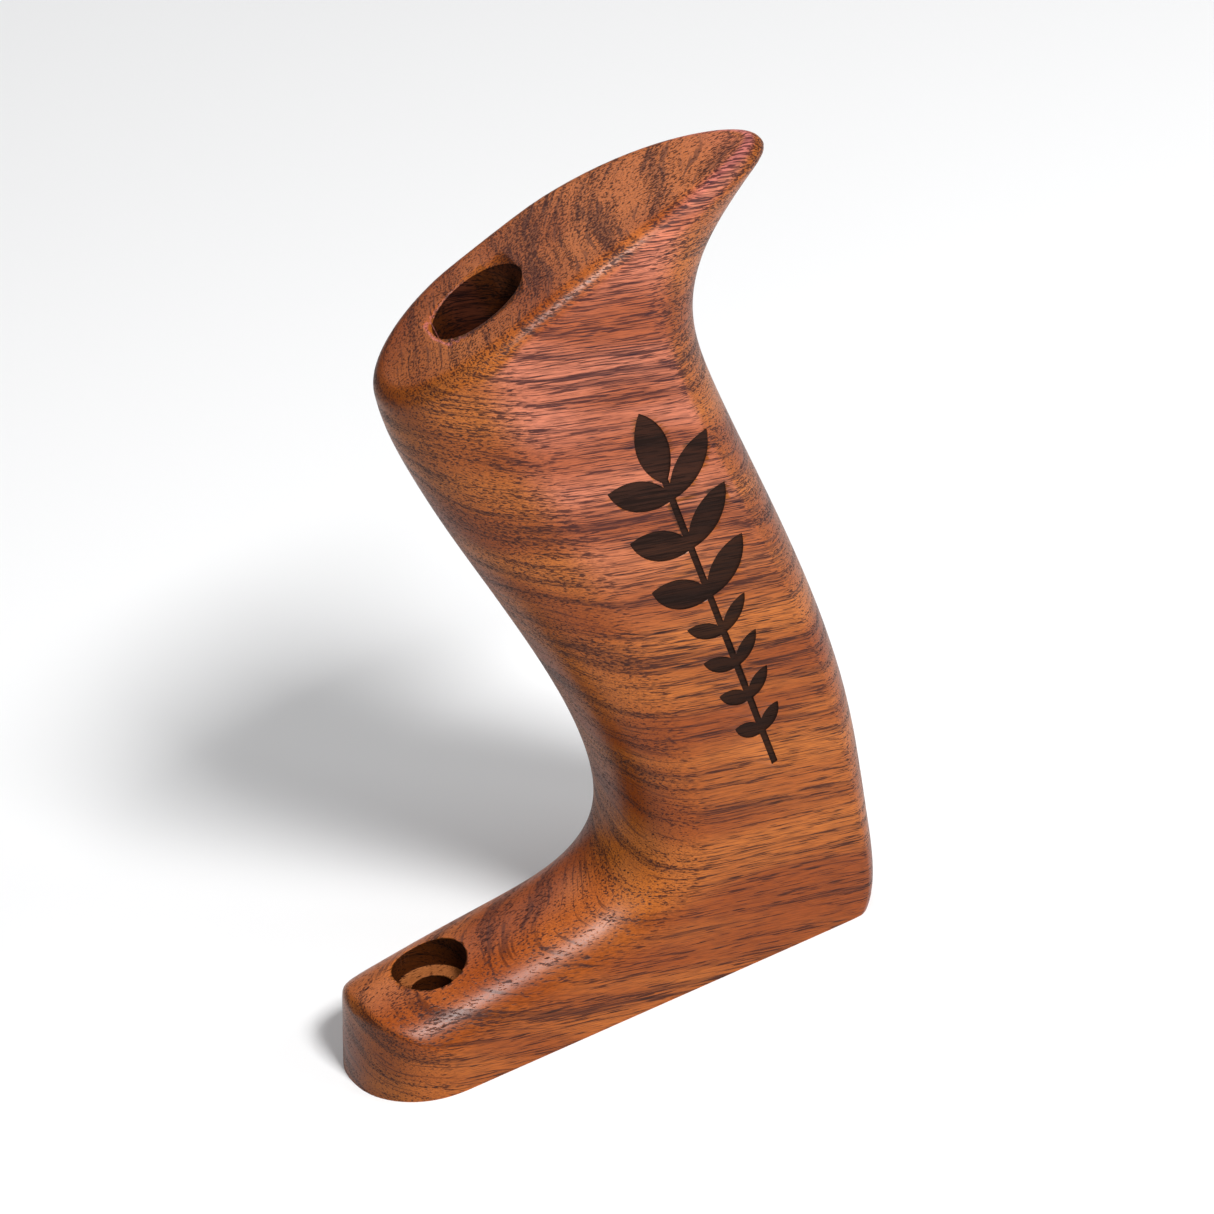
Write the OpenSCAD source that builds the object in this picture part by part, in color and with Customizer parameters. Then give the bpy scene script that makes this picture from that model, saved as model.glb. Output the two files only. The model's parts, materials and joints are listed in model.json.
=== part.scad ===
// Rear handle (tote) of a bench hand plane, carved from one blank of wood.
// The origin is where the rod bore leaves the sole, on the middle plane.
// +Z is up, the toe points to -X, the sole is the plane Z = 0.

/* [Overall] */
// Length of the sole from the toe end to the heel
base_length = 82.5; // [68.5:0.5:99]
// Height of the top face at its highest, near the horn
height = 118.5; // [99:0.5:142.5]
// Thickness of the blank, cheek to cheek
width = 23; // [19:0.5:27.5]

/* [Grip] */
// Depth of the large rounding down the front of the grip
front_round = 18; // [12:0.5:20]
// Depth of the rounding down the back of the grip
back_round = 9; // [6:0.5:12]
// Length over which the horn narrows to its tip
horn_taper = 30; // [22:0.5:36]
// Radius of the edge round the top face
top_edge = 3; // [2:0.1:4]
// Rise of the top face above the straight line from nose to horn
top_crown = 4.6; // [2:0.1:6]

/* [Toe] */
// Depth of the rounding along both edges of the toe
toe_round = 10; // [7:0.5:11]
// Radius of the edge round the end of the toe
toe_edge = 2; // [1:0.1:3]
// Lean of the toe end, top to bottom
toe_draft = 2.5; // [1.5:0.1:3]

/* [Rod bore] */
// Diameter of the bore for the handle rod
rod_bore_d = 7; // [5.5:0.1:8.5]
// Width of the oval recess for the rod's nut, across the top face
nut_recess_w = 9.8; // [8.5:0.1:12]
// Length of that recess, along the top face
nut_recess_l = 14; // [10:0.1:16]
// Depth of the nut recess below the top face, down the bore
nut_recess_depth = 13; // [9:0.5:16]
// Distance from the heel to the rod bore, along the sole
rod_from_heel = 14.3; // [12:0.1:18]

/* [Toe screw] */
// Distance from the toe end to the toe screw
screw_from_toe = 14.1; // [12:0.1:16]
// Diameter of the toe screw's clearance hole
screw_hole_d = 6; // [4.5:0.1:7]
// Diameter of the counterbore for the screw head
screw_head_d = 10.5; // [9:0.1:11]
// Height of the counterbore's shoulder above the sole
screw_shoulder = 9.8; // [7.5:0.1:11]

/* [Ornament] */
// Length of the engraved leaf sprig
sprig_length = 62; // [50:1:70]
// Width of the sprig's stem
sprig_stem = 1; // [0.8:0.1:1.5]
// Depth of the engraving
sprig_depth = 0.5; // [0.4:0.05:0.8]
// Thickness of the dark fill on the floor of the engraving
fill_thickness = 0.3; // [0.2:0.05:0.35]

/* [Hidden] */
eps = 0.01;
half = width / 2;
sx = base_length / 82.5;
sz = height / 118.5;
toe_x = rod_from_heel - 82.3 * sx;
screw_x = toe_x + screw_from_toe - 0.2 * sx;

// Stations run along the handle: toe end, toe, instep, up the grip, top face.
// Each front point and the back point of the same number share one cross section.
front = [
  [1.5, 12.3], [9.9, 13.4], [18.3, 14.7],                           // toe
  [28.3, 15.8], [38.4, 17.5], [44.4, 22.9],                         // top of the toe
  [44, 32.5], [40.7, 44], [35.8, 55.9],                             // instep
  [30.8, 66.9], [25.8, 77.6], [21.9, 87.4],                         // front of the grip
  [20, 93.1], [19.3, 96.4], [19.1, 98.3]];                          // nose
back = [
  [1.5 - toe_draft, -6], [9.9 - toe_draft, -6], [18.3 - toe_draft, -6], // under the toe
  [28.7, -6], [44.5, -6], [64.2, -6],                               // under the sole
  [82.6, -5.5], [82.3, 13.1], [82, 31.7],                           // heel
  [77.6, 51.7], [71.5, 70.7], [65.4, 88.5],                         // back of the grip
  [62.8, 99.3], [67.2, 108.6], [78.9, 116.4]];                      // horn
last = len(front) - 1;

// Depths of the roundings by station, and how full their curves are
round_f = [[3, toe_round], [4, toe_round + 1], [6, front_round * 0.83],
           [7, front_round * 0.95], [8, front_round]];
full_f = [[3, 2.3], [6, 2]];
round_b = [[4, 0.5], [5, back_round * 0.2], [6, back_round * 0.55], [7, back_round * 0.9],
           [8, back_round], [last - 2, back_round], [last - 1, horn_taper * 0.53],
           [last, horn_taper]];
full_b = [[last - 2, 2], [last, 1.8]];
crown_f = [[last - 3, 0], [last - 2, top_crown * 0.1], [last - 1, top_crown * 0.64],
           [last, top_crown * 0.85]];
crown_b = [[last - 3, 0], [last - 2, top_crown * 0.1], [last - 1, top_crown * 0.44],
           [last, top_crown * 1.18]];

function row(i) = [
  toe_x + front[i][0] * sx, front[i][1] * sz, toe_x + back[i][0] * sx, back[i][1] * sz,
  lookup(i, round_f), lookup(i, full_f), lookup(i, round_b), lookup(i, full_b),
  lookup(i, crown_f), lookup(i, crown_b)];
rows = [for (i = [0 : last]) row(i)];

// Smooth curve through the rows: uniform cubic B-spline
function ctrl(i) = i < 0 ? 2 * rows[0] - rows[1] :
  i > last ? 2 * rows[last] - rows[last - 1] : rows[i];
function spline(u) = let (i = min(floor(u), last - 1), t = u - i, s = 1 - t)
  (pow(s, 3) * ctrl(i - 1) + (3 * pow(t, 3) - 6 * t * t + 4) * ctrl(i)
   + (3 * pow(s, 3) - 6 * s * s + 4) * ctrl(i + 1) + pow(t, 3) * ctrl(i + 2)) / 6;

// Sections: half-round toe end, then even steps, then the edge round of the top face
end_steps = 7;
body_steps = 74;
edge_steps = 5;
u_end = half / (8.4 * sx);
function sag(x) = 1 - sqrt(max(0, 1 - x * x));
stations = concat(
  [for (i = [0 : end_steps - 1]) let (a = 8 + i * 82 / end_steps, u = u_end * (1 - cos(a)))
    [u, sin(a), 0, 0]],
  [for (i = [0 : body_steps]) [u_end + (last - u_end) * i / body_steps, 1, 0, 0]],
  [for (i = [1 : edge_steps]) let (a = 90 * i / edge_steps)
    [last, 1, top_edge * (1 - cos(a)), top_edge * sin(a)]]);

front_steps = 8;
back_steps = 7;
function power(x, p) = x <= 0 ? 0 : pow(x, p);

// One side of a section, from the front edge round to the back edge: [x, y, z]
function side(st) = let (
    q = spline(st[0]), inset = st[2], lift = st[3],
    drop = toe_edge * sag(max(0, 1 - st[0] * 8.4 * sx / toe_edge)),
    f0 = [q[0], q[1] - drop], g0 = [q[2], q[3]],
    len0 = norm(g0 - f0), d = (g0 - f0) / len0,
    n = d[0] > 0 ? [-d[1], d[0]] : [d[1], -d[0]],
    f = f0 + d * inset + n * lift, len1 = len0 - 2 * inset,
    fit = min(1, 0.97 * len1 / (q[4] + q[6])), rf = q[4] * fit, rb = q[6] * fit,
    w = half * st[1] - inset, full = half - inset)
  concat(
    [for (i = [0 : front_steps]) let (s = power(sin(90 * i / front_steps), 0.85),
        t = min(1, s * w / full), a = rf * (1 - power(1 - power(t, q[5]), 1 / q[5]))
          + toe_edge * (1 - pow(w / full, 4)) * (1 - power(1 - power(s, 6), 1 / 6)))
      along(f, d, n, a, len1, q, w * s)],
    [for (i = [back_steps : -1 : 0]) let (b = 90 * i / back_steps,
        a = len1 - rb * (1 - power(cos(b), 2 / q[7])))
      along(f, d, n, a, len1, q, i == 0 ? 0 : w * power(sin(b), 2 / q[7]))]);
function along(f, d, n, a, l, q, y) = let (s = a / l,
    p = f + d * a + n * (3 * pow(1 - s, 2) * s * q[8] + 3 * (1 - s) * s * s * q[9]))
  [p[0], -y, p[1]];

per_side = front_steps + back_steps + 2;
loop_n = 2 * per_side - 2;
sides = [for (st = stations) side(st)];
function mirror_y(p) = [p[0], -p[1], p[2]];
loops = [for (s = sides) concat(s, [for (j = [per_side - 2 : -1 : 1]) mirror_y(s[j])])];
function across(k, base, flip) = [for (j = [0 : per_side - 2]) let (
    a = base + j, b = base + j + 1,
    c = base + (loop_n - j - 1) % loop_n, e = base + (loop_n - j) % loop_n)
  each (j == 0 ? [flip ? [a, c, b] : [a, b, c]]
    : j == per_side - 2 ? [flip ? [a, e, b] : [a, b, e]]
    : flip ? [[a, e, c], [a, c, b]] : [[a, b, c], [a, c, e]])];

// Height of the top face and of the toe along the middle plane
function top_at(x, lo = 0, hi = 1, n = 24) = let (m = (lo + hi) / 2, p = crown_point(m))
  n == 0 ? p[1] : p[0] < x ? top_at(x, m, hi, n - 1) : top_at(x, lo, m, n - 1);
function crown_point(s) = let (q = spline(last), f = [q[0], q[1]], g = [q[2], q[3]],
    d = (g - f) / norm(g - f), n = [-d[1], d[0]])
  f + (g - f) * s + n * (top_edge + 3 * pow(1 - s, 2) * s * q[8] + 3 * (1 - s) * s * s * q[9]);

// The bore leans so that its mouth sits behind the nose
mouth_x = toe_x + 34.4 * sx;
mouth_z = top_at(mouth_x);
lean = atan2(-mouth_x, mouth_z);
bore_length = norm([mouth_x, mouth_z]);

// Middle of the ornament on the cheek, and the slope of the grip there
sprig_x = toe_x + 57.2 * sx;
sprig_z = 61 * sz;
sprig_lean = atan2(-14.5 * sx, 59 * sz);

module blank() {
  count = len(loops);
  polyhedron(points = [for (l = loops) each l], faces = concat(
    across(0, 0, false),
    [for (k = [0 : count - 2]) for (j = [0 : loop_n - 1]) let (
        a = k * loop_n + j, b = k * loop_n + (j + 1) % loop_n, c = b + loop_n, e = a + loop_n)
      each [[a, e, c], [a, c, b]]],
    across(count - 1, (count - 1) * loop_n, true)), convexity = 6);
}

module rod_bore() {
  rotate([0, -lean, 0]) {
    translate([0, 0, -20]) cylinder(d = rod_bore_d, h = bore_length + 40, $fn = 64);
    translate([0, 0, bore_length - nut_recess_depth])
      linear_extrude(nut_recess_depth + 20)
        polygon([for (a = [0 : 5 : 355]) [nut_recess_l * cos(a), nut_recess_w * sin(a)] / 2]);
  }
}

module toe_screw_hole() {
  translate([screw_x, 0, -1]) cylinder(d = screw_hole_d, h = 40 * sz, $fn = 64);
  translate([screw_x, 0, screw_shoulder]) cylinder(d = screw_head_d, h = 30 * sz, $fn = 64);
}

// A leaf between two arcs, from the origin along +X
module leaf(l, w) {
  r = (l * l / 4 + w * w / 4) / w;
  translate([l / 2, 0]) intersection() {
    translate([0, r - w / 2]) circle(r = r, $fn = 96);
    translate([0, w / 2 - r]) circle(r = r, $fn = 96);
  }
}

// The sprig: a stem with a leaf at the tip, three broad pairs, then four small pairs
module sprig() {
  step = sprig_length / 62;
  translate([-sprig_stem / 2, -sprig_length / 2]) square([sprig_stem, sprig_length - 10]);
  translate([0, sprig_length / 2 - 12]) rotate(90) leaf(12, 4.8);
  for (i = [0 : 2]) leaf_pair(sprig_length / 2 - (14.5 + 8.5 * i) * step, 10.6 - 0.4 * i, 4.4);
  for (i = [0 : 3]) leaf_pair(sprig_length / 2 - (38 + 6 * i) * step, 6.4 - 0.5 * i, 2.4);
}

module leaf_pair(y, l, w) {
  for (s = [-1, 1]) translate([0, y]) rotate(90 + s * 52) translate([-0.3, 0]) leaf(l, w);
}

module on_cheek(depth, thick) {
  translate([sprig_x, -half + depth, sprig_z]) rotate([90, 0, 0])
    rotate(-sprig_lean) linear_extrude(thick) sprig();
}

module handle() {
  color([0.62, 0.28, 0.12]) difference() {
    blank();
    translate([toe_x - 20, -width, -40]) cube([base_length + 60, 2 * width, 40]);
    rod_bore();
    toe_screw_hole();
    on_cheek(sprig_depth, sprig_depth + 1);
  }
}

module sprig_fill() {
  color([0.1, 0.06, 0.05]) on_cheek(sprig_depth, fill_thickness);
}

handle();
sprig_fill();
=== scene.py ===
"""Rear handle of a bench hand plane: a carved, oiled wooden grip with an engraved leaf sprig."""

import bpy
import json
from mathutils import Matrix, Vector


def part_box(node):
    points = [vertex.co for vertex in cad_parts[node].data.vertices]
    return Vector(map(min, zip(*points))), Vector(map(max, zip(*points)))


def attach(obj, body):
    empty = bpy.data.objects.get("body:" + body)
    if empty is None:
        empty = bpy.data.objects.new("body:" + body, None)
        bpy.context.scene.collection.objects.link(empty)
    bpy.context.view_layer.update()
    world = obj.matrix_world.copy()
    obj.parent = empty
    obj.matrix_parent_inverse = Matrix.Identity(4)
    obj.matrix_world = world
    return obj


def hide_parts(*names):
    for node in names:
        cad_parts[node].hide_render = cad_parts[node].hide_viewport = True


bl_info = {
    "name": "Hand plane handle",
    "version": (1, 0, 0),
    "blender": (4, 5, 0),
    "location": "View3D > Sidebar > Plane handle",
    "description": "Builds a carved wooden plane handle, its engraving and a soft studio round it",
    "category": "Object",
}

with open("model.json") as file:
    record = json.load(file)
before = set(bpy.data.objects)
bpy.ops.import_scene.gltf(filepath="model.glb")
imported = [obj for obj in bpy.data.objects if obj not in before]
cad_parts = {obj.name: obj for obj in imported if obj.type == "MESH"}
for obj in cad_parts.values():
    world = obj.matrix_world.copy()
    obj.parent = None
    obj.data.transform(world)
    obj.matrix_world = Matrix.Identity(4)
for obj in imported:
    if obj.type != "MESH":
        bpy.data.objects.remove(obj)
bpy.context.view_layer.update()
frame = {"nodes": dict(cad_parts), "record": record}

import json
import math

import bmesh
import bpy
from mathutils import Matrix, Vector

MM = 0.001
ROOT = "root"
RECORD = frame["record"]
MOUNTS = {mount["name"]: mount for mount in RECORD["mounts"]}
LOW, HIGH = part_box("handle")
HALF = (HIGH.y - LOW.y) / 2

# The drawn size of the profile below in millimetres, its heel, the spacing of its stations along the toe, and
# its scale in the frame
DRAWN_LENGTH, DRAWN_HEIGHT = 82.4, 118.53
DRAWN_HEEL = 82.335
TOE_STEP = 8.4
SCALE_X = (HIGH.x - LOW.x) / (DRAWN_LENGTH * MM)
SCALE_Z = HIGH.z / (DRAWN_HEIGHT * MM)
TOE_X = HIGH.x - DRAWN_HEEL * MM * SCALE_X

# Stations along the handle, in millimetres from the toe end and the sole: front x and z, back x and z,
# depth and fullness of the front rounding, the same for the back, and the rise of the top face at both ends
PROFILE = [
    (1.5, 12.3, -1, -6, 10, 2.3, 0.5, 2, 0, 0),          # toe end
    (9.9, 13.4, 7.4, -6, 10, 2.3, 0.5, 2, 0, 0),
    (18.3, 14.7, 15.8, -6, 10, 2.3, 0.5, 2, 0, 0),
    (28.3, 15.8, 28.7, -6, 10, 2.3, 0.5, 2, 0, 0),
    (38.4, 17.5, 44.5, -6, 11, 2.2, 0.5, 2, 0, 0),      # instep
    (44.4, 22.9, 64.2, -6, 13, 2.1, 1.8, 2, 0, 0),
    (44.0, 32.5, 82.6, -5.5, 14.94, 2, 4.95, 2, 0, 0),  # heel
    (40.7, 44.0, 82.3, 13.1, 17.1, 2, 8.1, 2, 0, 0),
    (35.8, 55.9, 82.0, 31.7, 18, 2, 9, 2, 0, 0),        # grip
    (30.8, 66.9, 77.6, 51.7, 18, 2, 9, 2, 0, 0),
    (25.8, 77.6, 71.5, 70.7, 18, 2, 9, 2, 0, 0),
    (21.9, 87.4, 65.4, 88.5, 18, 2, 9, 2, 0, 0),
    (20.0, 93.1, 62.8, 99.3, 18, 2, 9, 2, 0.46, 0.46),
    (19.3, 96.4, 67.2, 108.6, 18, 2, 15.9, 1.9, 2.944, 2.024),
    (19.1, 98.3, 78.9, 116.4, 18, 2, 30, 1.8, 3.91, 5.428),  # top face, nose to horn
]
LAST = len(PROFILE) - 1
END_STEPS, BODY_STEPS, EDGE_STEPS = 8, 120, 6
FRONT_STEPS, BACK_STEPS = 12, 10

# Width and length of the oval recess for the rod's nut
NUT_WIDTH, NUT_LENGTH = 9.8 * MM, 14 * MM

# Directions in the wood: along the fibres, across them in a growth layer, and through the layers
FIBRE = Vector((1, 0, -0.22)).normalized()
THROUGH = Vector((0.22, -0.4, 1)).normalized()
ACROSS = THROUGH.cross(FIBRE)


# ---------------------------------------------------------------- settings

class PLANEHANDLE_PG_shape(bpy.types.PropertyGroup):
    """Sizes of the carved body that a user may change."""

    top_edge: bpy.props.FloatProperty(
        name="Top edge", description="Radius of the edge round the top face",
        default=3 * MM, min=2 * MM, max=4 * MM, unit="LENGTH")
    toe_edge: bpy.props.FloatProperty(
        name="Toe edge", description="Radius of the edge round the end of the toe",
        default=2 * MM, min=1 * MM, max=3 * MM, unit="LENGTH")
    sole_edge: bpy.props.FloatProperty(
        name="Sole edge", description="Width of the small bevel round the sole",
        default=0.35 * MM, min=0.1 * MM, max=1 * MM, unit="LENGTH")


class PLANEHANDLE_PG_finish(bpy.types.PropertyGroup):
    """Colours and scale of the wood and its finish."""

    light: bpy.props.FloatVectorProperty(
        name="Light wood", description="Colour of the lightest bands",
        default=(0.44, 0.122, 0.018), size=3, min=0, max=1, subtype="COLOR")
    middle: bpy.props.FloatVectorProperty(
        name="Middle wood", description="Colour of most of the wood",
        default=(0.26, 0.052, 0.004), size=3, min=0, max=1, subtype="COLOR")
    dark: bpy.props.FloatVectorProperty(
        name="Dark wood", description="Colour of the dark bands",
        default=(0.026, 0.003, 0.001), size=3, min=0, max=1, subtype="COLOR")
    pore: bpy.props.FloatVectorProperty(
        name="Pores", description="Colour of the open pores",
        default=(0.012, 0.003, 0.002), size=3, min=0, max=1, subtype="COLOR")
    end_grain: bpy.props.FloatVectorProperty(
        name="End grain", description="Tint where the fibres are cut across",
        default=(0.72, 0.72, 0.50), size=3, min=0, max=1, subtype="COLOR")
    # Painted sheen: a pinker, bluer tint that stands in for the soft reflection of floor and lights on the
    # upper sides of the grip
    painted_sheen: bpy.props.FloatVectorProperty(
        name="Painted sheen", description="Pink tint high on the sides of the grip",
        default=(1.30, 1.48, 5.60), size=3, min=0, max=8, subtype="COLOR")
    # Painted light: faces that look up are made paler and bluer, standing in for the overhead light and its
    # sheen on them
    level: bpy.props.FloatVectorProperty(
        name="Level faces", description="Tint of the faces that look up, where the polish is thinner",
        default=(1.15, 1.12, 1.60), size=3, min=0, max=2, subtype="COLOR")
    burnt: bpy.props.FloatVectorProperty(
        name="Engraving", description="Colour of the darkened wood in the engraving",
        default=(0.010, 0.005, 0.0035), size=3, min=0, max=1, subtype="COLOR")
    pore_length: bpy.props.FloatProperty(
        name="Pore length", description="Length of the cell that holds one pore",
        default=8 * MM, min=2 * MM, max=20 * MM, unit="LENGTH")
    pore_width: bpy.props.FloatProperty(
        name="Pore spacing", description="Width of the cell that holds one pore",
        default=0.75 * MM, min=0.3 * MM, max=2 * MM, unit="LENGTH")


class PLANEHANDLE_PG_studio(bpy.types.PropertyGroup):
    """Floor, lights and lens."""

    floor: bpy.props.FloatVectorProperty(
        name="Floor", description="Colour of the plain floor",
        default=(0.93, 0.93, 0.93), size=3, min=0, max=1, subtype="COLOR")
    lens: bpy.props.FloatProperty(
        name="Lens", description="Focal length of the camera",
        default=138.9, min=20, max=300, unit="CAMERA")


# ---------------------------------------------------------------- carved body

def spline(u):
    """Values of the profile at station u, on a smooth cubic curve through its rows."""
    first, last = PROFILE[0], PROFILE[-1]
    before = tuple(2 * a - b for a, b in zip(first, PROFILE[1]))
    after = tuple(2 * a - b for a, b in zip(last, PROFILE[-2]))
    rows = [before, *PROFILE, after]
    i = min(int(u), LAST - 1)
    t = u - i
    s = 1 - t
    weights = (s ** 3, 3 * t ** 3 - 6 * t * t + 4, 3 * s ** 3 - 6 * s * s + 4, t ** 3)
    return [sum(w * rows[i + k][j] for k, w in enumerate(weights)) / 6 for j in range(10)]


def section(u, share, inset, lift, toe_edge):
    """Points of one cross section, in metres.

    They run from its front edge round the near side to the back, and home along the far side.
    """
    half = HALF / MM
    front_x, front_z, back_x, back_z, *rounding, crown_a, crown_b = spline(u)
    front_depth, front_power, back_depth, back_power = rounding
    rise = max(0.0, 1 - u * TOE_STEP / toe_edge)
    front = Vector((front_x, front_z - toe_edge * (1 - math.sqrt(1 - rise * rise))))
    back = Vector((back_x, back_z))
    span = (back - front).length
    along = (back - front) / span
    up = Vector((-along.y, along.x)) if along.x > 0 else Vector((along.y, -along.x))
    start = front + along * inset + up * lift
    span -= 2 * inset
    fit = min(1.0, 0.97 * span / (front_depth + back_depth))
    front_round, back_round = front_depth * fit, back_depth * fit
    width = half * share - inset
    full = half - inset

    def point(a, y):
        s = a / span
        crown = 3 * (1 - s) ** 2 * s * crown_a + 3 * (1 - s) * s * s * crown_b
        p = start + along * a + up * crown
        return Vector((TOE_X + p.x * SCALE_X * MM, -y * MM, p.y * SCALE_Z * MM))

    near = []
    for i in range(FRONT_STEPS + 1):
        s = math.sin(math.pi / 2 * i / FRONT_STEPS) ** 0.85 if i else 0.0
        t = min(1.0, s * width / full)
        depth = front_round * (1 - max(0.0, 1 - t ** front_power) ** (1 / front_power))
        depth += toe_edge * (1 - (width / full) ** 4) * (1 - max(0.0, 1 - s ** 6) ** (1 / 6))
        near.append(point(depth, width * s))
    for i in range(BACK_STEPS, -1, -1):
        b = math.pi / 2 * i / BACK_STEPS
        depth = span - back_round * (1 - max(0.0, math.cos(b)) ** (2 / back_power))
        near.append(point(depth, width * math.sin(b) ** (2 / back_power) if i else 0.0))
    return near + [Vector((p.x, -p.y, p.z)) for p in near[-2:0:-1]]


def stations(top_edge, toe_edge):
    """Sections from the round toe end, along the body, to the rounded edge of the top face."""
    end = HALF / MM / TOE_STEP
    for i in range(END_STEPS):
        a = math.radians(8 + i * 82 / END_STEPS)
        yield section(end * (1 - math.cos(a)), math.sin(a), 0, 0, toe_edge)
    for i in range(BODY_STEPS + 1):
        yield section(end + (LAST - end) * i / BODY_STEPS, 1, 0, 0, toe_edge)
    for i in range(1, EDGE_STEPS + 1):
        a = math.pi / 2 * i / EDGE_STEPS
        yield section(LAST, 1, top_edge * (1 - math.cos(a)), top_edge * math.sin(a), toe_edge)


def close_ring(bm, ring):
    """Closes a section across its width with a ladder of faces."""
    count = len(ring)
    near = [bm.edges.get((ring[i], ring[i + 1])) for i in range(1, count // 2 - 1)]
    far = [bm.edges.get((ring[-i], ring[-i - 1])) for i in range(1, count // 2 - 1)]
    bmesh.ops.bridge_loops(bm, edges=near + far)
    bmesh.ops.contextual_create(bm, geom=[ring[-1], ring[0], ring[1]])
    middle = count // 2
    bmesh.ops.contextual_create(bm, geom=[ring[middle - 1], ring[middle], ring[middle + 1]])


def new_object(name, bm):
    """A mesh object of that name made from a bmesh, which is freed."""
    mesh = bpy.data.meshes.new(name)
    bm.to_mesh(mesh)
    bm.free()
    piece = bpy.data.objects.new(name, mesh)
    bpy.context.scene.collection.objects.link(piece)
    return piece


def apply_modifiers(piece):
    """Replaces a piece's mesh with what its modifiers make of it."""
    bpy.context.view_layer.update()
    finished = bpy.data.meshes.new_from_object(
        piece.evaluated_get(bpy.context.evaluated_depsgraph_get()))
    piece.modifiers.clear()
    old, piece.data = piece.data, finished
    bpy.data.meshes.remove(old)


def carve_body(shape):
    """The smooth carved blank, from its toe to the top face, with its flat sole."""
    bm = bmesh.new()
    rings = stations(shape.top_edge / MM, shape.toe_edge / MM)
    points = next(rings)
    ring = bmesh.ops.create_circle(bm, segments=len(points), radius=HALF)["verts"]
    for vert, point in zip(ring, points):
        vert.co = point
    first = list(ring)
    for points in rings:
        edges = [bm.edges.get((ring[i - 1], ring[i])) for i in range(len(ring))]
        grown = bmesh.ops.extrude_edge_only(bm, edges=edges)["geom"]
        new = {v for v in grown if isinstance(v, bmesh.types.BMVert)}
        ring = [next(e.other_vert(v) for e in v.link_edges if e.other_vert(v) in new) for v in ring]
        for vert, point in zip(ring, points):
            vert.co = point
    close_ring(bm, first)
    close_ring(bm, ring)
    bmesh.ops.recalc_face_normals(bm, faces=bm.faces)
    body = new_object("handle_body", bm)
    smooth = body.modifiers.new("smooth", "SUBSURF")
    smooth.levels = smooth.render_levels = 1
    apply_modifiers(body)

    bm = bmesh.new()
    bm.from_mesh(body.data)
    cut = bmesh.ops.bisect_plane(
        bm, geom=bm.verts[:] + bm.edges[:] + bm.faces[:], dist=1e-6,
        plane_co=(0, 0, 0), plane_no=(0, 0, 1), clear_inner=True)["geom_cut"]
    rim = [e for e in cut if isinstance(e, bmesh.types.BMEdge)]
    bmesh.ops.contextual_create(bm, geom=rim)
    bmesh.ops.bevel(bm, geom=rim, offset=shape.sole_edge, segments=3, profile=0.5,
                    affect="EDGES", clamp_overlap=True, material=-1)
    bmesh.ops.recalc_face_normals(bm, faces=bm.faces)
    bm.to_mesh(body.data)
    bm.free()
    return body


# ---------------------------------------------------------------- cutters

def lathe(name, profile, matrix):
    """A solid turned from a profile of radius and height, placed by a matrix."""
    bm = bmesh.new()
    verts = [bm.verts.new((r, 0, z)) for r, z in profile]
    edges = [bm.edges.new(pair) for pair in zip(verts, verts[1:])]
    bmesh.ops.spin(bm, geom=verts + edges, cent=(0, 0, 0), axis=(0, 0, 1),
                   angle=2 * math.pi, steps=96, use_merge=True)
    bmesh.ops.remove_doubles(bm, verts=bm.verts, dist=1e-6)
    bmesh.ops.recalc_face_normals(bm, faces=bm.faces)
    bmesh.ops.transform(bm, matrix=matrix, verts=bm.verts)
    return new_object(name, bm)


def oval_cutter(name, width, length, height, matrix):
    """An oval cutter, placed by a matrix."""
    bm = bmesh.new()
    bmesh.ops.create_circle(bm, cap_ends=True, segments=96, radius=0.5)
    grown = bmesh.ops.extrude_face_region(bm, geom=bm.faces[:])["geom"]
    bmesh.ops.translate(bm, vec=(0, 0, 1), verts=[v for v in grown if isinstance(v, bmesh.types.BMVert)])
    bmesh.ops.scale(bm, vec=(length, width, height), verts=bm.verts)
    bmesh.ops.recalc_face_normals(bm, faces=bm.faces)
    bmesh.ops.transform(bm, matrix=matrix, verts=bm.verts)
    return new_object(name, bm)


def mount_size(name, key):
    """A measure of one of the record's mounts, in metres."""
    return MOUNTS[name]["dims"][key] * MM


def make_cutters(wall, burnt):
    """The rod bore, the nut recess, the toe screw's hole and the engraving, as solids to cut away."""
    lean = Vector(MOUNTS["rod_bore"]["axis"])
    tilt = Vector((0, 0, 1)).rotation_difference(lean).to_matrix().to_4x4()
    radius = mount_size("rod_bore", "r_mm")
    depth = mount_size("rod_bore", "length_mm")
    far = 40 * MM
    top = depth + 5 * MM
    rod = lathe("rod_cutter", [(0, -far), (radius, -far), (radius, top), (0, top)], tilt)
    seat = tilt @ Matrix.Translation((0, 0, depth))
    recess = oval_cutter("nut_cutter", NUT_WIDTH, NUT_LENGTH, far, seat)

    centre = Vector(MOUNTS["toe_screw_hole"]["pos_m"])
    hole = mount_size("toe_screw_hole", "r_mm")
    head = mount_size("toe_counterbore", "r_mm")
    shoulder = mount_size("toe_screw_hole", "length_mm")
    ease = 0.25 * MM
    screw = lathe("screw_cutter", [
        (0, -far), (hole, -far), (hole, shoulder - ease), (hole + ease, shoulder),
        (head - ease, shoulder), (head, shoulder + ease), (head, far), (0, far),
    ], Matrix.Translation((centre.x, centre.y, 0)))

    bm = bmesh.new()
    bm.from_mesh(frame["nodes"]["sprig_fill"].data)
    bmesh.ops.remove_doubles(bm, verts=bm.verts, dist=1e-6)
    bmesh.ops.dissolve_limit(bm, angle_limit=math.radians(0.5), verts=bm.verts, edges=bm.edges)
    low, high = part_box("sprig_fill")
    for vert in bm.verts:
        if vert.co.y < (low.y + high.y) / 2:
            vert.co.y = -HALF - 2 * MM
    sprig = new_object("sprig_cutter", bm)
    for cutter, material in ((rod, wall), (recess, wall), (screw, wall), (sprig, burnt)):
        cutter.data.materials.append(material)
    return [rod, recess, screw, sprig]


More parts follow.
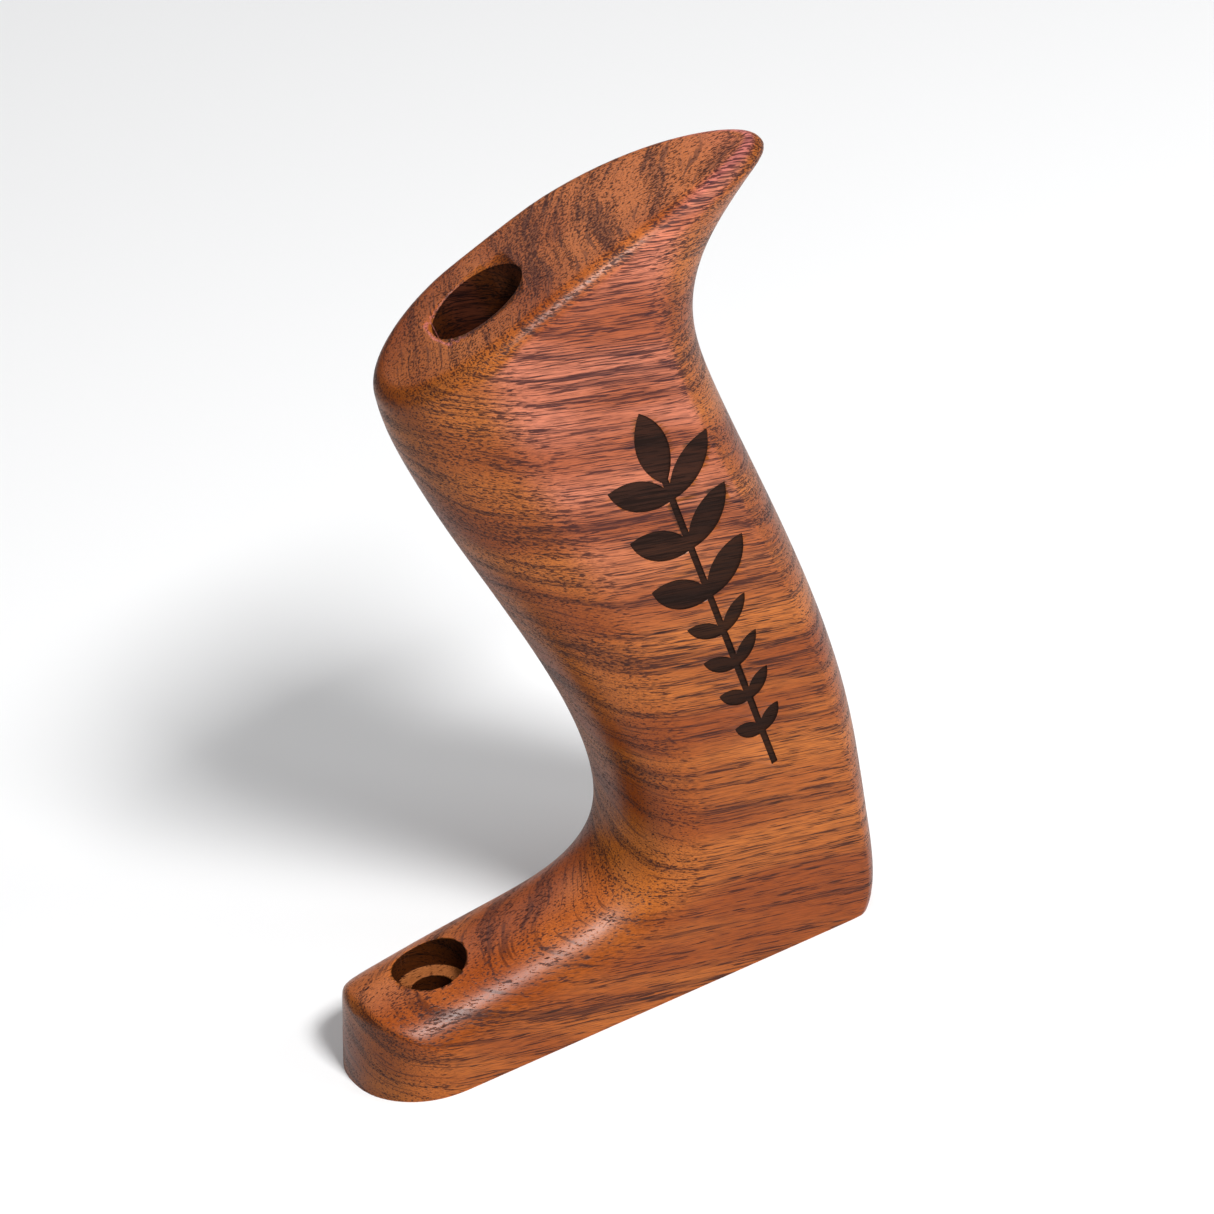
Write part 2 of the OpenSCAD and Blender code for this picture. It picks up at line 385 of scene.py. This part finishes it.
def cut_away(body, cutters):
    """Cuts the cutters from the body, one after another, and removes them."""
    for cutter in cutters:
        cut = body.modifiers.new(cutter.name, "BOOLEAN")
        cut.operation, cut.solver, cut.object = "DIFFERENCE", "EXACT", cutter
        cut.material_mode = "TRANSFER"
    apply_modifiers(body)
    for cutter in cutters:
        mesh = cutter.data
        bpy.data.objects.remove(cutter)
        bpy.data.meshes.remove(mesh)


def shade(piece, degrees=32):
    """Smooth shading, with crisp edges where faces meet at more than that angle.

    The normals are weighted by area, so the slivers beside a cut leave no smudge.
    """
    piece.data.polygons.foreach_set("use_smooth", [True] * len(piece.data.polygons))
    piece.data.set_sharp_from_angle(angle=math.radians(degrees))
    even = piece.modifiers.new("even", "WEIGHTED_NORMAL")
    even.mode, even.weight, even.keep_sharp = "FACE_AREA", 80, True
    apply_modifiers(piece)


# ---------------------------------------------------------------- materials

class Graph:
    """A material and short ways to add linked nodes to it."""

    def __init__(self, name):
        self.material = bpy.data.materials.new(name)
        self.material.use_nodes = True
        self.tree = self.material.node_tree
        self.shader = self.tree.nodes["Principled BSDF"]

    def add(self, kind, inputs=(), **settings):
        """A new node with its settings, and its inputs set or linked by name or number."""
        node = self.tree.nodes.new("ShaderNode" + kind)
        for key, value in settings.items():
            setattr(node, key, value)
        for key, value in dict(inputs).items():
            self.feed(node.inputs[key], value)
        return node

    def feed(self, socket, value):
        """Links a node's first output or a socket to an input, or sets its value."""
        if isinstance(value, bpy.types.Node):
            value = value.outputs[0]
        if isinstance(value, bpy.types.NodeSocket):
            self.tree.links.new(value, socket)
        elif isinstance(value, tuple) and socket.type == "RGBA":
            socket.default_value = (*value[:3], 1)
        else:
            socket.default_value = value

    def math(self, operation, a, b=0.0):
        """The result of a sum on two values."""
        return self.add("Math", {0: a, 1: b}, operation=operation)

    def ramp(self, value, low, high, to_low=0.0, to_high=1.0):
        """A soft step from one value to another as the input goes from low to high."""
        return self.add("MapRange", {"Value": value, "From Min": low, "From Max": high,
                                     "To Min": to_low, "To Max": to_high},
                        interpolation_type="SMOOTHSTEP")

    def mix(self, factor, a, b, blend="MIX"):
        """A mix of two colours."""
        node = self.add("Mix", data_type="RGBA", blend_type=blend)
        for socket, value in zip((node.inputs[0], node.inputs[6], node.inputs[7]), (factor, a, b)):
            self.feed(socket, value)
        return node.outputs[2]

    def stretch(self, vector, sizes, offset=(0, 0, 0)):
        """Coordinates in which a cell of those sizes, in metres, becomes one unit."""
        return self.add("Mapping", {"Vector": vector, "Scale": tuple(1 / s for s in sizes),
                                    "Location": offset})

    def noise(self, vector, detail=2.0, roughness=0.5):
        """Soft noise whose lumps are about one unit across."""
        return self.add("TexNoise", {"Vector": vector, "Scale": 1.0, "Detail": detail,
                                     "Roughness": roughness, "Distortion": 0.0})


def wood(name, finish, polished=True, bore_shade=1.0, burnt=False):
    """Reddish hardwood with dark bands, short open pores and a satin finish."""
    g = Graph(name)
    place = g.add("TexCoord").outputs["Object"]
    turn = Matrix((FIBRE, ACROSS, THROUGH)).to_euler()
    grain = g.add("Mapping", {"Vector": place, "Rotation": tuple(turn)})

    # Growth layers wander a little through the blank
    sway = g.noise(g.stretch(grain, (0.070, 0.030, 0.022)), detail=2.0)
    waver = g.noise(g.stretch(grain, (0.020, 0.009, 0.008), (3, 7, 1)), detail=1.0)
    shift = g.math("ADD", g.math("MULTIPLY", g.math("SUBTRACT", sway, 0.5), 0.010),
                   g.math("MULTIPLY", g.math("SUBTRACT", waver, 0.5), 0.0010))
    moved = g.add("VectorMath", {0: grain, 1: g.add("CombineXYZ", {"Z": shift})}, operation="ADD")

    broad = g.noise(g.stretch(moved, (0.050, 0.020, 0.0090)), detail=2.0, roughness=0.5)
    bands = g.noise(g.stretch(moved, (0.060, 0.024, 0.0015)), detail=4.0, roughness=0.62)
    lines = g.noise(g.stretch(moved, (0.034, 0.0070, 0.00034), (1, 4, 2)), detail=2.0, roughness=0.55)
    threads = g.noise(g.stretch(grain, (0.0056, 0.00028, 0.00017), (6, 4, 2)), detail=2.0, roughness=0.55)
    fibres = g.noise(g.stretch(grain, (0.0030, 0.00013, 0.00013), (8, 1, 3)), detail=2.0, roughness=0.6)
    thick = g.ramp(bands, 0.60, 0.38)

    colour = g.mix(g.ramp(broad, 0.34, 0.64), finish.middle[:], finish.light[:])
    colour = g.mix(g.ramp(bands, 0.50, 0.32, 0.0, 0.55), colour, finish.dark[:])
    colour = g.mix(g.ramp(lines, 0.45, 0.33, 0.0, 0.60), colour, finish.dark[:])
    height_in = g.add("SeparateXYZ", {0: place}).outputs["Z"]
    rise = g.ramp(height_in, 0.02, 0.09, 0.385, 0.425)
    limit = g.math("ADD", g.math("MULTIPLY", thick, 0.09), rise)
    speckle = g.ramp(g.math("SUBTRACT", threads, limit), 0.025, -0.035)
    colour = g.mix(g.math("MULTIPLY", speckle, 0.85), colour, finish.dark[:])
    colour = g.mix(g.ramp(fibres, 0.34, 0.62, 0.42, 0.0), colour, finish.dark[:])

    # Pores: short dark dashes along the fibres, dots where the fibres are cut across
    cells = g.stretch(grain, (finish.pore_length, finish.pore_width, finish.pore_width), (2, 5, 8))
    cell = g.add("TexVoronoi", {"Vector": cells, "Scale": 1.0, "Randomness": 1.0})
    crowd = g.math("ADD", g.math("MULTIPLY", thick, 0.14), 0.12)
    pore = g.ramp(g.math("DIVIDE", cell.outputs["Distance"], crowd), 1.0, 0.45)
    colour = g.mix(g.math("MULTIPLY", pore, 0.85), colour, finish.pore[:])

    # End grain drinks more finish, so it is deeper and more golden
    normal = g.add("NewGeometry").outputs["Normal"]
    facing = g.math("ABSOLUTE", g.add("VectorMath", {0: normal, 1: tuple(FIBRE)},
                                      operation="DOT_PRODUCT").outputs["Value"])
    across = g.ramp(facing, 0.45, 0.85)
    # Painted sheen: the flat sides of the grip, more so higher up, get a pinker, bluer tint standing in for a
    # soft reflection
    painted_sheen = g.math("MULTIPLY", g.ramp(facing, 0.34, 0.08), g.ramp(height_in, 0.050, 0.092))
    colour = g.mix(painted_sheen, colour, g.mix(1.0, colour, finish.painted_sheen[:], "MULTIPLY"))
    # Painted light: faces that look up are made paler and bluer, as if lit from above
    level = g.ramp(g.add("SeparateXYZ", {0: normal}).outputs["Z"], 0.60, 0.92)
    colour = g.mix(level, colour, g.mix(1.0, colour, finish.level[:], "MULTIPLY"))
    colour = g.mix(across, colour, g.mix(1.0, colour, finish.end_grain[:], "MULTIPLY"))

    if burnt:
        colour = g.mix(g.ramp(bands, 0.25, 0.75, 0.98, 0.93), colour, finish.burnt[:])
    if bore_shade != 1.0:
        # Painted light and shade in the bores: ledges that face up are made paler and bluer as painted light,
        # and the walls are darkened as painted shade
        lit_ledge = g.ramp(g.add("SeparateXYZ", {0: normal}).outputs["Z"], 0.7, 0.9)
        shadow = g.mix(lit_ledge, (bore_shade, bore_shade * 0.85, bore_shade * 0.75), (0.85, 1.05, 1.45))
        colour = g.mix(1.0, colour, shadow, "MULTIPLY")
    g.feed(g.shader.inputs["Base Color"], colour)
    rough = 0.34 if polished else 0.65
    grit = g.math("ADD", g.math("MULTIPLY", pore, 0.22), g.math("MULTIPLY", fibres, 0.14))
    grit = g.math("ADD", grit, g.math("MULTIPLY", speckle, 0.2))
    g.feed(g.shader.inputs["Roughness"], g.math("ADD", grit, rough - 0.07))
    pits = g.math("ADD", pore, g.math("MULTIPLY", speckle, 0.4))
    height = g.math("SUBTRACT", g.math("MULTIPLY", fibres, 0.35), pits)
    strength = 0.4 if polished else 0.9
    bump = g.add("Bump", {"Height": height, "Strength": strength, "Distance": 0.05 * MM})
    g.feed(g.shader.inputs["Normal"], bump)
    g.shader.inputs["IOR"].default_value = 1.45
    g.shader.inputs["Specular IOR Level"].default_value = 0.28 if polished else 0.1
    return g.material


def pale_floor(finish):
    """Plain matt floor with the faintest unevenness."""
    g = Graph("pale_floor")
    place = g.add("TexCoord").outputs["Object"]
    cloud = g.noise(g.stretch(place, (0.4, 0.4, 0.4)), detail=2.0)
    shade_of = tuple(c * 0.985 for c in finish.floor)
    g.feed(g.shader.inputs["Base Color"], g.mix(cloud, finish.floor[:], shade_of))
    g.shader.inputs["Roughness"].default_value = 0.9
    return g.material


# ---------------------------------------------------------------- operators

class PLANEHANDLE_OT_body(bpy.types.Operator):
    """Carve the handle's body, bore it and engrave it"""

    bl_idname = "planehandle.body"
    bl_label = "Carved body"
    bl_options = {"REGISTER", "UNDO"}

    def execute(self, context):
        finish = context.scene.planehandle_finish
        body = carve_body(context.scene.planehandle_shape)
        body.data.materials.append(wood("oiled_wood", finish))
        # The bores get a darkened copy of the wood as painted shade, with paler up-facing ledges as painted
        # light
        cut_away(body, make_cutters(wood("bore_shaded_wood", finish, polished=False, bore_shade=0.14),
                                    wood("burnt_wall", finish, polished=False, burnt=True)))
        shade(body)
        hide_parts("handle")
        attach(body, ROOT)
        return {"FINISHED"}


class PLANEHANDLE_OT_engraving(bpy.types.Operator):
    """Darken the engraved leaf sprig"""

    bl_idname = "planehandle.engraving"
    bl_label = "Engraving"
    bl_options = {"REGISTER", "UNDO"}

    def execute(self, context):
        fill = frame["nodes"]["sprig_fill"]
        fill.data.materials.clear()
        fill.data.materials.append(wood("burnt_wood", context.scene.planehandle_finish,
                                        polished=False, burnt=True))
        return {"FINISHED"}


# Soft lights round the handle: name, place, side in metres, and power in watts
LIGHTS = (
    ("key", (0.80, -0.66, 0.62), 0.7, 4.8),
    ("overhead", (0.06, -0.72, 0.90), 0.25, 13),
    ("left_fill", (-0.95, -0.30, 0.70), 0.9, 1.8),
    ("back_fill", (0.10, 0.95, 1.20), 1.0, 4.0),
)
CAMERA_PLACE = (-0.26956, -0.48110, 0.38019)
# How far the camera turns from +Y, looks down and rolls, in degrees
CAMERA_TURN, CAMERA_DROP, CAMERA_ROLL = -27.394, 30.791, -6.992


def softbox(name, place, aim, size, watts):
    """A square soft light that faces a point."""
    light = bpy.data.lights.new(name, "AREA")
    light.shape, light.size, light.energy = "SQUARE", size, watts
    lamp = bpy.data.objects.new(name, light)
    lamp.location = place
    lamp.rotation_euler = (Vector(aim) - Vector(place)).to_track_quat("-Z", "Y").to_euler()
    bpy.context.scene.collection.objects.link(lamp)


class PLANEHANDLE_OT_studio(bpy.types.Operator):
    """Set the floor, the soft lights and the camera"""

    bl_idname = "planehandle.studio"
    bl_label = "Studio"
    bl_options = {"REGISTER", "UNDO"}

    def execute(self, context):
        studio = context.scene.planehandle_studio
        bm = bmesh.new()
        bmesh.ops.create_grid(bm, x_segments=4, y_segments=4, size=2.5)
        floor = new_object("floor", bm)
        floor.data.materials.append(pale_floor(studio))

        middle = (LOW + HIGH) / 2
        for name, place, size, watts in LIGHTS:
            softbox(name, place, middle, size, watts)

        world = bpy.data.worlds.new("studio")
        world.use_nodes = True
        backdrop = world.node_tree.nodes["Background"]
        backdrop.inputs["Color"].default_value = (0.95, 0.97, 1.0, 1)
        backdrop.inputs["Strength"].default_value = 0.19
        context.scene.world = world
        context.scene.view_settings.view_transform = "Standard"

        lens = bpy.data.cameras.new("camera")
        lens.lens, lens.sensor_width = studio.lens, 36
        lens.clip_start, lens.clip_end = 0.01, 20
        camera = bpy.data.objects.new("camera", lens)
        camera.location = CAMERA_PLACE
        turn, drop, roll = (math.radians(a) for a in (CAMERA_TURN, CAMERA_DROP, CAMERA_ROLL))
        camera.rotation_euler = (
            Matrix.Rotation(turn, 3, "Z") @ Matrix.Rotation(math.pi / 2 - drop, 3, "X")
            @ Matrix.Rotation(roll, 3, "Z")).to_euler()
        context.scene.collection.objects.link(camera)
        context.scene.camera = camera
        return {"FINISHED"}


class PLANEHANDLE_PT_panel(bpy.types.Panel):
    """Settings and steps of the plane handle"""

    bl_idname = "PLANEHANDLE_PT_panel"
    bl_label = "Plane handle"
    bl_space_type = "VIEW_3D"
    bl_region_type = "UI"
    bl_category = "Plane handle"

    def draw(self, context):
        for title, group, operators in STEPS:
            box = self.layout.box()
            box.label(text=title)
            settings = getattr(context.scene, group)
            for key in settings.bl_rna.properties.keys():
                if key not in ("rna_type", "name"):
                    box.prop(settings, key)
            for operator in operators:
                box.operator(operator.bl_idname)


GROUPS = {
    "planehandle_shape": PLANEHANDLE_PG_shape,
    "planehandle_finish": PLANEHANDLE_PG_finish,
    "planehandle_studio": PLANEHANDLE_PG_studio,
}
STEPS = (
    ("Body", "planehandle_shape", (PLANEHANDLE_OT_body,)),
    ("Finish", "planehandle_finish", (PLANEHANDLE_OT_engraving,)),
    ("Studio", "planehandle_studio", (PLANEHANDLE_OT_studio,)),
)
CLASSES = (*GROUPS.values(), PLANEHANDLE_OT_body, PLANEHANDLE_OT_engraving,
           PLANEHANDLE_OT_studio, PLANEHANDLE_PT_panel)


def register():
    for cls in CLASSES:
        bpy.utils.register_class(cls)
    for name, group in GROUPS.items():
        setattr(bpy.types.Scene, name, bpy.props.PointerProperty(type=group))


def unregister():
    for name in GROUPS:
        delattr(bpy.types.Scene, name)
    for cls in reversed(CLASSES):
        bpy.utils.unregister_class(cls)


def main():
    register()
    bpy.ops.planehandle.studio()
    bpy.ops.planehandle.body()
    bpy.ops.planehandle.engraving()
    bpy.context.view_layer.update()


if __name__ == "__main__":
    main()
